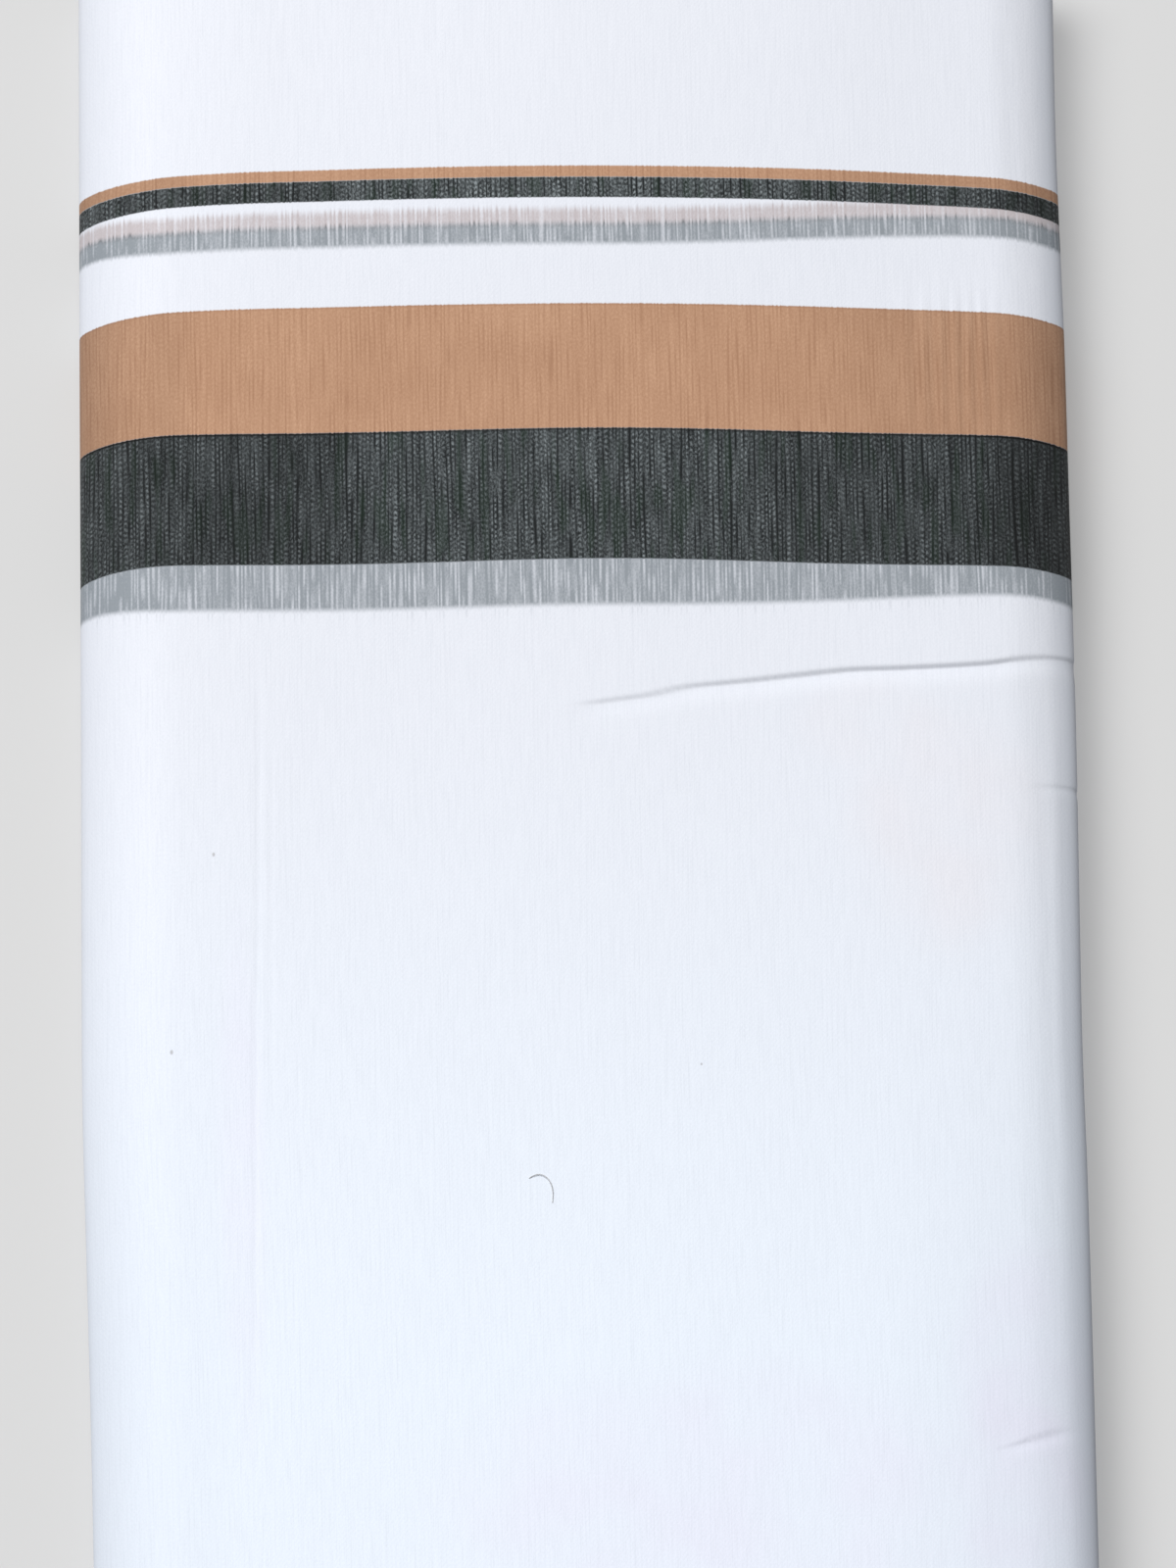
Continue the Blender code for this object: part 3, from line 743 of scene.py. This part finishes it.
# Woven bands, in mm from the woven edge: (start, end)
THIN_TAN = (65.6, 68.8)
THIN_CHARCOAL = (68.8, 74.6)
WIDE_TAN = (104.4, 139.0)
WIDE_CHARCOAL = (139.0, 176.0)
BAND_SOFTNESS = 0.22         # mm
BAND_SLANT = 0.0206          # the bands lie this far off square to the folds
BAND_DROOP = 0.6             # mm, and the wide bands sag twice across the face
DROOP_PITCH = 146.0          # mm
DROOP_CREST = 9.0            # mm from the middle of the face, between the two sags
DROOP_REST = 0.3             # mm by which they hang even there
DROOP_GROWS = (80.0, 176.0)  # mm from the woven edge

# The likenesses of the bands in the under thickness, in mm: (start, end, softness)
GHOST_TANS = ((THIN_TAN[0] - 0.8, THIN_TAN[1] + 0.4, 1.4), (*WIDE_TAN, 0.9))
GHOST_CHARCOALS = ((*THIN_CHARCOAL, 1.0), (*WIDE_CHARCOAL, 1.1))
GHOST_TAIL = (WIDE_CHARCOAL[1], WIDE_CHARCOAL[1] + 3.0, 1.6)   # single threads run on
GHOST_SETBACK = 13.0         # mm from a band to its likeness

# Colours, in linear light.
WHITE = (0.745, 0.765, 0.825)
WHITE_LOW = (0.780, 0.838, 0.925)   # bluer towards the doubled edge, and lighter there as painted light
BLUSH = (0.765, 0.750, 0.795)
LILAC = (0.775, 0.765, 0.890)
# The grey of the gaps between threads, and the colour of the painted shade on the white.
THREAD_GREY_AND_SHADE = (0.43, 0.46, 0.52)
SPECK = (0.20, 0.17, 0.15)
TAN = (0.462, 0.266, 0.165)
TAN_LIGHT = (0.600, 0.370, 0.240)
TAN_DARK = (0.300, 0.150, 0.085)
CHARCOAL = (0.007, 0.009, 0.010)
CHARCOAL_LIGHT = (0.264, 0.298, 0.311)
CHARCOAL_GREEN = (0.006, 0.014, 0.009)
BLACK = (0.0, 0.0, 0.0)
GHOST_TAN = (0.70, 0.62, 0.59)
GHOST_CHARCOAL = (0.37, 0.395, 0.40)
FIBRE_GREY = (0.38, 0.37, 0.36)
FIBRE_PALE = (0.56, 0.55, 0.55)
FLOOR_GREY = (0.34, 0.34, 0.34)
FLOOR_GREY_LIGHT = tuple(1.01 * c for c in FLOOR_GREY)
FLOOR_GLOW = 0.315           # the floor glows a little, painted light that lightens the shadow on it

WARP_PITCH = 1.55            # mm, of the dotted weave as it reads
WEFT_PITCH = 1.13            # mm, of the even thread pattern across the cloth
BAND_JAG = 0.10              # mm by which single threads shift the edges of the bands
GHOST_JAG = 0.35             # and of their likenesses

# What grows in steps towards the two sides of the face, in mm from its middle:
# (starts at, is full at, size). First, how much closer the likenesses come, in mm.
GHOST_CLOSING = ((10.0, 118.0, 5.0), (-98.0, -125.0, 2.6))
# How much darker the cloth is, as a share: painted shade towards its sides. The second row of
# the white ends the first one past the underside, and its fourth row ends the third one under
# the upper bend.
WHITE_PAINTED_SHADE = (
    (-103.0, -125.0, 0.32), (-350.0, -366.0, -0.32), (114.0, 122.0, 0.54), (125.0, 134.0, -0.54),
)
# Painted shade at the sides, which grows towards the doubled edge.
NEAR_PAINTED_SHADE = ((-78.0, -112.0, 0.13), (60.0, 112.0, 0.13), (112.0, 120.0, 0.14))
# Painted shade of the tan bands towards the sides.
TAN_PAINTED_SHADE = ((-90.0, -104.0, 0.12), (-106.0, -124.0, 0.20), (46.0, 90.0, 0.11), (108.0, 121.0, 0.16))
# Painted shade of the charcoal bands towards the sides.
CHARCOAL_PAINTED_SHADE = ((-46.0, -64.0, 0.31), (36.0, 56.0, 0.22), (94.0, 114.0, 0.36))
# Painted shade: the likenesses of the bands show darker towards the sides.
VEIL_PAINTED_SHADE = ((-94.0, -112.0, 0.13), (96.0, 110.0, 0.13))
NEAR_HALF = (250.0, 430.0)   # mm from the woven edge, over which the painted shade at the sides comes in
# Specks in the cloth: (across, from the woven edge, half width, half length), in mm.
SPECKS = (
    (-90.0, 257.7, 0.45, 0.8),
    (-100.5, 313.1, 0.50, 0.9),
    (29.0, 320.5, 0.35, 0.5),
)
SPECK_SHARE = 0.45
# Patches of a faintly tinted white: (across, from the woven edge, half width, half
# length, share, colour), in mm.
PATCHES = (
    (72.0, 224.0, 22.0, 16.0, 0.28, BLUSH),
    (90.0, 254.0, 30.0, 42.0, 0.40, BLUSH),
    (108.0, 424.0, 24.0, 62.0, 0.46, LILAC),
    (30.0, 442.0, 80.0, 44.0, 0.32, LILAC),
    (-84.0, 350.0, 7.0, 90.0, 0.26, LILAC),
)


class Graph:
    """Short names for the shader nodes that the cloth uses."""

    def __init__(self, name):
        self.material = bpy.data.materials.new(name)
        self.material.use_nodes = True
        self.nodes = self.material.node_tree.nodes
        self.links = self.material.node_tree.links
        self.shader = self.nodes["Principled BSDF"]

    def feed(self, socket, value):
        """Links a socket to another one, or sets it to a number or a colour."""
        if isinstance(value, bpy.types.NodeSocket):
            self.links.new(value, socket)
        elif isinstance(value, tuple) and len(value) == 3 and socket.type == "RGBA":
            socket.default_value = (*value, 1.0)
        else:
            socket.default_value = value

    def look(self, **values):
        """Sets inputs of the shader by their names, with _ for a space."""
        for name, value in values.items():
            self.feed(self.shader.inputs[name.replace("_", " ")], value)

    def math(self, operation, a, b=0.0, clamp=False):
        node = self.nodes.new("ShaderNodeMath")
        node.operation = operation
        node.use_clamp = clamp
        for socket, value in zip(node.inputs, (a, b)):
            self.feed(socket, value)
        return node.outputs[0]

    def plus(self, a, b, clamp=False):
        return self.math("ADD", a, b, clamp)

    def minus(self, a, b, clamp=False):
        return self.math("SUBTRACT", a, b, clamp)

    def times(self, a, b, clamp=False):
        return self.math("MULTIPLY", a, b, clamp)

    def over(self, a, b):
        return self.math("DIVIDE", a, b)

    def weighted(self, start, *rows):
        """start, and each value of the rows times its share."""
        total = start
        for value, share in rows:
            total = self.plus(total, self.times(value, share))
        return total

    def map_range(self, value, low, high, smooth):
        node = self.nodes.new("ShaderNodeMapRange")
        node.interpolation_type = "SMOOTHSTEP" if smooth else "LINEAR"
        self.feed(node.inputs["Value"], value)
        self.feed(node.inputs["From Min"], low)
        self.feed(node.inputs["From Max"], high)
        return node.outputs["Result"]

    def step(self, value, low, high):
        """0 at low and 1 at high, with a soft rise between them."""
        return self.map_range(value, low, high, smooth=True)

    def spread(self, value, low, high):
        """Noise between low and high, drawn out to run from 0 to 1."""
        return self.map_range(value, low, high, smooth=False)

    def bands(self, place, *rows):
        """1 inside each band of the rows and 0 outside: (start, end, softness)."""
        total = 0.0
        for start, end, soft in rows:
            rise = self.step(place, start - soft, start + soft)
            fall = self.step(place, end - soft, end + soft)
            total = self.plus(self.minus(rise, fall, clamp=True), total, clamp=True)
        return total

    def mix(self, share, a, b, blend="MIX"):
        """Colour a, with this share of colour b."""
        node = self.nodes.new("ShaderNodeMix")
        node.data_type = "RGBA"
        node.blend_type = blend
        self.feed(node.inputs["Factor"], share)
        colour_a, colour_b = [i for i in node.inputs if i.type == "RGBA"]
        self.feed(colour_a, a)
        self.feed(colour_b, b)
        return next(o for o in node.outputs if o.type == "RGBA")

    def noise(self, x, y, detail=1.0, roughness=0.5, seed=0.0):
        """Noise in two directions. Seeds lie far apart in the same noise."""
        where = self.nodes.new("ShaderNodeCombineXYZ")
        self.feed(where.inputs["X"], x)
        self.feed(where.inputs["Y"], self.plus(y, SEED_SPACING * seed))
        node = self.nodes.new("ShaderNodeTexNoise")
        node.noise_dimensions = "2D"
        self.feed(node.inputs["Vector"], where.outputs[0])
        self.feed(node.inputs["Scale"], 1.0)
        self.feed(node.inputs["Detail"], detail)
        self.feed(node.inputs["Roughness"], roughness)
        return node.outputs["Fac"]

    def object_noise(self, per_metre):
        """Noise over the object's own X and Y, with so many marks to a metre."""
        coordinates = self.nodes.new("ShaderNodeTexCoord")
        split = self.nodes.new("ShaderNodeSeparateXYZ")
        self.feed(split.inputs[0], coordinates.outputs["Object"])
        x, y = (self.times(split.outputs[axis], per_metre) for axis in "XY")
        return self.noise(x, y)


class Weave:
    """The cloth's own measures in mm, and the unevenness of its threads from 0 to 1.

    The painted shade, the patches and the specks are on the outer ply only: they are left
    out inside.
    """

    def __init__(self, g, outer):
        self.g = g
        self.outer = outer
        measure = g.nodes.new("ShaderNodeUVMap")
        measure.uv_map = CLOTH_MEASURE
        split = g.nodes.new("ShaderNodeSeparateXYZ")
        g.feed(split.inputs[0], measure.outputs[0])
        self.across = g.times(split.outputs["X"], 1 / MM)
        self.down = g.times(split.outputs["Y"], 1 / MM)
        self.streak = self.noise(wide=1.3, long=20.0, seed=3.1, detail=2.0, roughness=0.6)
        self.mottle = self.noise(wide=1.4, long=4.0, seed=6.4)
        self.grain = self.noise(wide=0.42, long=0.75, seed=9.3)
        self.cloud = self.noise(wide=21.0, long=23.0, seed=7.7)
        self.cluster = self.noise(wide=3.0, long=24.0, seed=3.9)
        dashes = g.over(self.across, 0.58)
        self.dash = self.thread(dashes, seed=4.6, long=9.0, half_width=0.5)

        # Weft threads run down the cloth, with dark gaps between them. Each has
        # stretches where it stands out, and stretches where it is lost.
        sway = g.times(self.noise(wide=3.4, long=75.0, seed=2.2), 0.8)
        count = g.plus(g.over(self.across, WEFT_PITCH), sway)
        self.gap = self.thread(count, seed=1.7, long=14.0, half_width=0.30)
        count = g.plus(count, 0.5)
        self.weft = self.thread(count, seed=4.3, long=11.0, half_width=0.42)

        # The warp crosses each of them as a row of beads, half a bead on from the
        # row of the thread beside it.
        odd = g.times(g.math("FLOOR", count), 0.5)
        turns = g.plus(g.over(self.down, WARP_PITCH), odd)
        turns = g.plus(turns, g.times(self.mottle, 0.5))
        beads = g.math("SINE", g.times(turns, 2 * math.pi))
        self.beads = g.times(g.plus(beads, 0.4), self.ridge(count, 0.46), clamp=True)

    def ridge(self, count, half_width):
        """1 along the middle of each thread and 0 beside it."""
        g = self.g
        off = g.math("ABSOLUTE", g.minus(g.math("FRACT", count), 0.5))
        return g.minus(1.0, g.step(off, 0.0, half_width))

    def thread(self, count, seed, long, half_width):
        """Counted threads, each of its own strength in every stretch of it."""
        g = self.g
        number = g.times(g.math("FLOOR", count), 5.37)
        along = g.plus(g.over(self.down, long), g.times(number, 0.37))
        strength = g.noise(number, along, seed=seed)
        return g.times(g.spread(strength, 0.42, 0.62), self.ridge(count, half_width))

    def patch(self, across, down, wide, long):
        """A soft round patch of the cloth: 1 in its middle and 0 outside it."""
        g = self.g
        off = g.over(g.minus(self.across, across), wide)
        along = g.over(g.minus(self.down, down), long)
        far = g.plus(g.times(off, off), g.times(along, along))
        return g.minus(1.0, g.step(far, 0.1, 1.0))

    def steps(self, rows):
        """The sum of some steps across the cloth: (starts at, is full at, size)."""
        total = 0.0
        for start, full, size in rows:
            grown = self.g.times(self.g.step(self.across, start, full), size)
            total = self.g.plus(grown, total)
        return total

    def painted_shade(self, rows):
        """The same for painted shade, which only the outer ply has."""
        return self.steps(rows) if self.outer else 0.0

    def noise(self, wide, long, seed, detail=1.0, roughness=0.5):
        """Noise whose marks are so wide across the cloth and so long down it."""
        g = self.g
        x, y = g.over(self.across, wide), g.over(self.down, long)
        return g.spread(g.noise(x, y, detail, roughness, seed), 0.30, 0.70)


def white_ground(g, w):
    """The white of the cloth: bluer at one end and lighter there as painted light, with
    faint patches and threads, and painted shade towards its sides.
    """
    white = g.mix(g.step(w.down, 170.0, 430.0), WHITE, WHITE_LOW)
    for across, down, wide, long, share, colour in PATCHES if w.outer else ():
        patch = g.times(w.patch(across, down, wide, long), g.plus(w.cloud, 0.5))
        white = g.mix(g.times(patch, share), white, colour)
    threads = g.weighted(0.02, (w.gap, 0.055), (w.weft, -0.03), (w.dash, 0.07), (w.grain, 0.075))
    white = g.mix(threads, white, THREAD_GREY_AND_SHADE)
    # Painted shade towards the sides, more of it towards the doubled edge.
    near = g.times(w.painted_shade(NEAR_PAINTED_SHADE), g.step(w.down, *NEAR_HALF))
    white = g.mix(g.plus(w.painted_shade(WHITE_PAINTED_SHADE), near), white, THREAD_GREY_AND_SHADE)
    for across, down, wide, long in SPECKS if w.outer else ():
        speck = g.times(w.patch(across, down, wide, long), SPECK_SHARE)
        white = g.mix(speck, white, SPECK)
    return white


def show_through(g, w, white, place):
    """The bands of the under thickness, which show through the white as a veil."""
    place = g.plus(g.minus(place, GHOST_SETBACK), w.steps(GHOST_CLOSING))
    place = g.weighted(place, (w.gap, GHOST_JAG), (w.weft, -GHOST_JAG))
    veil = g.weighted(0.90, (w.gap, 0.40), (w.weft, -0.38), (w.streak, -0.16), (w.grain, 0.12))
    # Painted shade: the likenesses show darker towards the sides.
    veil = g.plus(veil, w.painted_shade(VEIL_PAINTED_SHADE))
    tail = g.times(g.times(g.bands(place, GHOST_TAIL), w.gap), 0.16)
    tan = g.times(g.bands(place, *GHOST_TANS), veil, clamp=True)
    dark = g.plus(g.times(g.bands(place, *GHOST_CHARCOALS), veil), tail, clamp=True)
    white = g.mix(tan, white, g.mix(1.0, white, GHOST_TAN, "MULTIPLY"))
    return g.mix(dark, white, g.mix(1.0, white, GHOST_CHARCOAL, "MULTIPLY"))


def tan_weave(g, w, place):
    """The tan bands, with lighter and darker threads, a firmer edge, and painted shade towards the
    sides.
    """
    colour = TAN
    for mark, share, thread in (
        (w.weft, 0.34, TAN_LIGHT),
        (w.beads, 0.22, TAN_LIGHT),
        (w.streak, 0.30, TAN_LIGHT),
        (w.gap, 0.42, TAN_DARK),
        (w.grain, 0.28, TAN_DARK),
        (w.cloud, 0.16, TAN_DARK),
        (g.bands(place, (WIDE_TAN[0], WIDE_TAN[0] + 0.4, 0.4)), 0.55, TAN_DARK),
    ):
        colour = g.mix(g.times(mark, share), colour, thread)
    # Painted shade towards the sides.
    return g.mix(w.painted_shade(TAN_PAINTED_SHADE), colour, BLACK)


def charcoal_weave(g, w, place):
    """The charcoal bands: grey threads dotted with light, black gaps between, and painted shade
    towards the sides.
    """
    beads = g.times(w.beads, g.weighted(0.12, (w.weft, 0.26)))
    grain = g.step(w.grain, 0.35, 0.95)
    light = g.weighted(beads, (w.streak, 0.12), (grain, 0.19), (w.mottle, 0.03))
    light = g.times(light, g.weighted(1.28, (w.cluster, -0.56)))
    dark = g.minus(1.0, g.times(w.gap, 1.1), clamp=True)
    in_thin_band = g.weighted(1.45, (g.step(place, 80.0, 100.0), -0.45))
    light = g.times(g.times(light, dark), in_thin_band, clamp=True)
    ground = g.mix(g.step(w.cluster, 0.6, 1.0), CHARCOAL, CHARCOAL_GREEN)
    colour = g.mix(light, ground, CHARCOAL_LIGHT)
    edge = g.bands(place, (WIDE_CHARCOAL[0], WIDE_CHARCOAL[0] + 0.6, 0.35))
    # Painted shade towards the sides, and a darker edge to the wide band.
    return g.mix(g.weighted(w.painted_shade(CHARCOAL_PAINTED_SHADE), (edge, 0.70)), colour, BLACK)


def band_place(g, w):
    """Place of a point against the bands, in mm from the woven edge."""
    jag = g.times(g.minus(w.gap, w.weft), BAND_JAG)
    place = g.plus(g.plus(w.down, g.times(w.across, -BAND_SLANT)), jag)
    turn = g.times(g.minus(w.across, DROOP_CREST), 2 * math.pi / DROOP_PITCH)
    turn = g.math("MAXIMUM", g.math("MINIMUM", turn, 2 * math.pi), -2 * math.pi)
    droop = g.times(g.minus(1.0, g.math("COSINE", turn)), BAND_DROOP)
    droop = g.times(g.plus(droop, DROOP_REST), g.step(place, *DROOP_GROWS))
    return g.minus(place, droop)


def cloth_material(name, outer):
    """White cotton with its woven bands, their likenesses in the under thickness,
    uneven threads and a fine weave. It reads the cloth's own measures."""
    g = Graph(name)
    w = Weave(g, outer)
    place = band_place(g, w)
    tan = g.bands(place, (*THIN_TAN, BAND_SOFTNESS), (*WIDE_TAN, BAND_SOFTNESS))
    dark = g.bands(place, (*THIN_CHARCOAL, BAND_SOFTNESS), (*WIDE_CHARCOAL, BAND_SOFTNESS))
    colour = show_through(g, w, white_ground(g, w), place)
    colour = g.mix(tan, colour, tan_weave(g, w, place))
    colour = g.mix(dark, colour, charcoal_weave(g, w, place))

    # Threads stand proud by a few hundredths of a millimetre.
    weft = g.math("SINE", g.times(w.across, 2 * math.pi / WEFT_PITCH))
    warp = g.math("SINE", g.times(w.down, 2 * math.pi / WARP_PITCH))
    bump = g.nodes.new("ShaderNodeBump")
    g.feed(bump.inputs["Strength"], 0.30)
    g.feed(bump.inputs["Distance"], 0.016 * MM)
    g.feed(bump.inputs["Height"], g.weighted(g.times(weft, warp), (w.grain, 1.6)))
    g.look(
        Base_Color=colour,
        Normal=bump.outputs["Normal"],
        Roughness=g.weighted(0.80, (w.grain, 0.10)),
        Specular_IOR_Level=0.20,
        Sheen_Weight=0.08,
        Sheen_Roughness=0.5,
    )
    return g.material


def fibre_material():
    """A grey lint fibre, uneven along its length."""
    g = Graph("lint_fibre")
    g.look(Base_Color=g.mix(g.object_noise(900.0), FIBRE_GREY, FIBRE_PALE), Roughness=0.7)
    return g.material


def floor_material():
    """A plain pale grey surface, which glows a little: painted light that lightens the shadow on
    it.
    """
    g = Graph("pale_floor")
    g.look(
        Base_Color=g.mix(g.object_noise(3.0), FLOOR_GREY, FLOOR_GREY_LIGHT),
        Roughness=0.95,
        Specular_IOR_Level=0.1,
        Emission_Color=(1.0, 1.0, 1.0),
        Emission_Strength=FLOOR_GLOW,
    )
    return g.material


# ----- Floor, light and camera -----

FLOOR_SIZE = 14.0
CAMERA_ELEVATION = 60.0
CAMERA_ROLL = -1.02
CAMERA_DISTANCE = 10.5
CAMERA_TARGET = (0.0021, 0.0767, 0.027)
FRAME_HEIGHT = 0.3862        # height of the frame, at the target
SENSOR = 36.0                # mm, the long side
KEY_DIRECTION = (-0.36, 0.30, 0.88)
KEY_DISTANCE = 6.0
KEY_TARGET = (0.0, 0.05, 0.02)
KEY_SIZE = 4.8
KEY_POWER = 480.0
WORLD_STRENGTH = 0.14


def make_floor():
    """A flat floor, wide enough to fill every view."""
    bpy.ops.mesh.primitive_plane_add(size=FLOOR_SIZE, location=(0.0, 0.0, 0.0))
    floor = bpy.context.object
    floor.name = "floor"
    floor.data.materials.append(floor_material())


def make_lights():
    """One broad soft light from the upper left, and an even pale sky."""
    key = bpy.data.lights.new("key", "AREA")
    key.shape = "SQUARE"
    key.size = KEY_SIZE
    key.energy = KEY_POWER
    lamp = placed("key", key)
    lamp.location = Vector(KEY_DIRECTION).normalized() * KEY_DISTANCE
    lamp.rotation_mode = "QUATERNION"
    facing = Vector(KEY_TARGET) - lamp.location
    lamp.rotation_quaternion = facing.to_track_quat("-Z", "Y")
    world = bpy.data.worlds.new("soft_studio")
    world.use_nodes = True
    sky = world.node_tree.nodes["Background"]
    sky.inputs["Color"].default_value = (1.0, 1.0, 1.0, 1.0)
    sky.inputs["Strength"].default_value = WORLD_STRENGTH
    bpy.context.scene.world = world
    bpy.context.scene.view_settings.view_transform = "Standard"


def make_camera():
    """A long lens from the near end of the stack, with a slight roll and no shift."""
    camera = bpy.data.cameras.new("camera")
    camera.sensor_width = SENSOR
    camera.lens = SENSOR * CAMERA_DISTANCE / FRAME_HEIGHT
    camera.clip_start = 0.1
    camera.clip_end = 100.0
    rig = placed("camera", camera)
    tilt = math.radians(CAMERA_ELEVATION)
    back = Vector((0.0, -math.cos(tilt), math.sin(tilt)))
    place = Vector(CAMERA_TARGET) + back * CAMERA_DISTANCE
    facing = back.to_track_quat("Z", "Y").to_matrix().to_4x4()
    roll = Matrix.Rotation(math.radians(CAMERA_ROLL), 4, "Z")
    rig.matrix_world = Matrix.Translation(place) @ facing @ roll
    bpy.context.scene.camera = rig


def main():
    outer = make_outer_wrap()
    outer.data.materials.append(cloth_material("dhoti_cotton", True))
    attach(outer, "root")
    inner_cotton = cloth_material("dhoti_cotton_inside", False)
    inner = [
        make_inner_fold(),
        make_cut_end("cut_end_over", "cut_end_upper", CUT_END_UPPER, -1),
        make_cut_end("cut_end_under", "cut_end_lower", CUT_END_LOWER, 1),
        make_hidden_plies(),
    ]
    for piece in inner:
        piece.data.materials.append(inner_cotton)
        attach(piece, "root")
    fibre = make_fibre()
    fibre.data.materials.append(fibre_material())
    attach(fibre, "root")
    make_floor()
    make_lights()
    make_camera()


main()
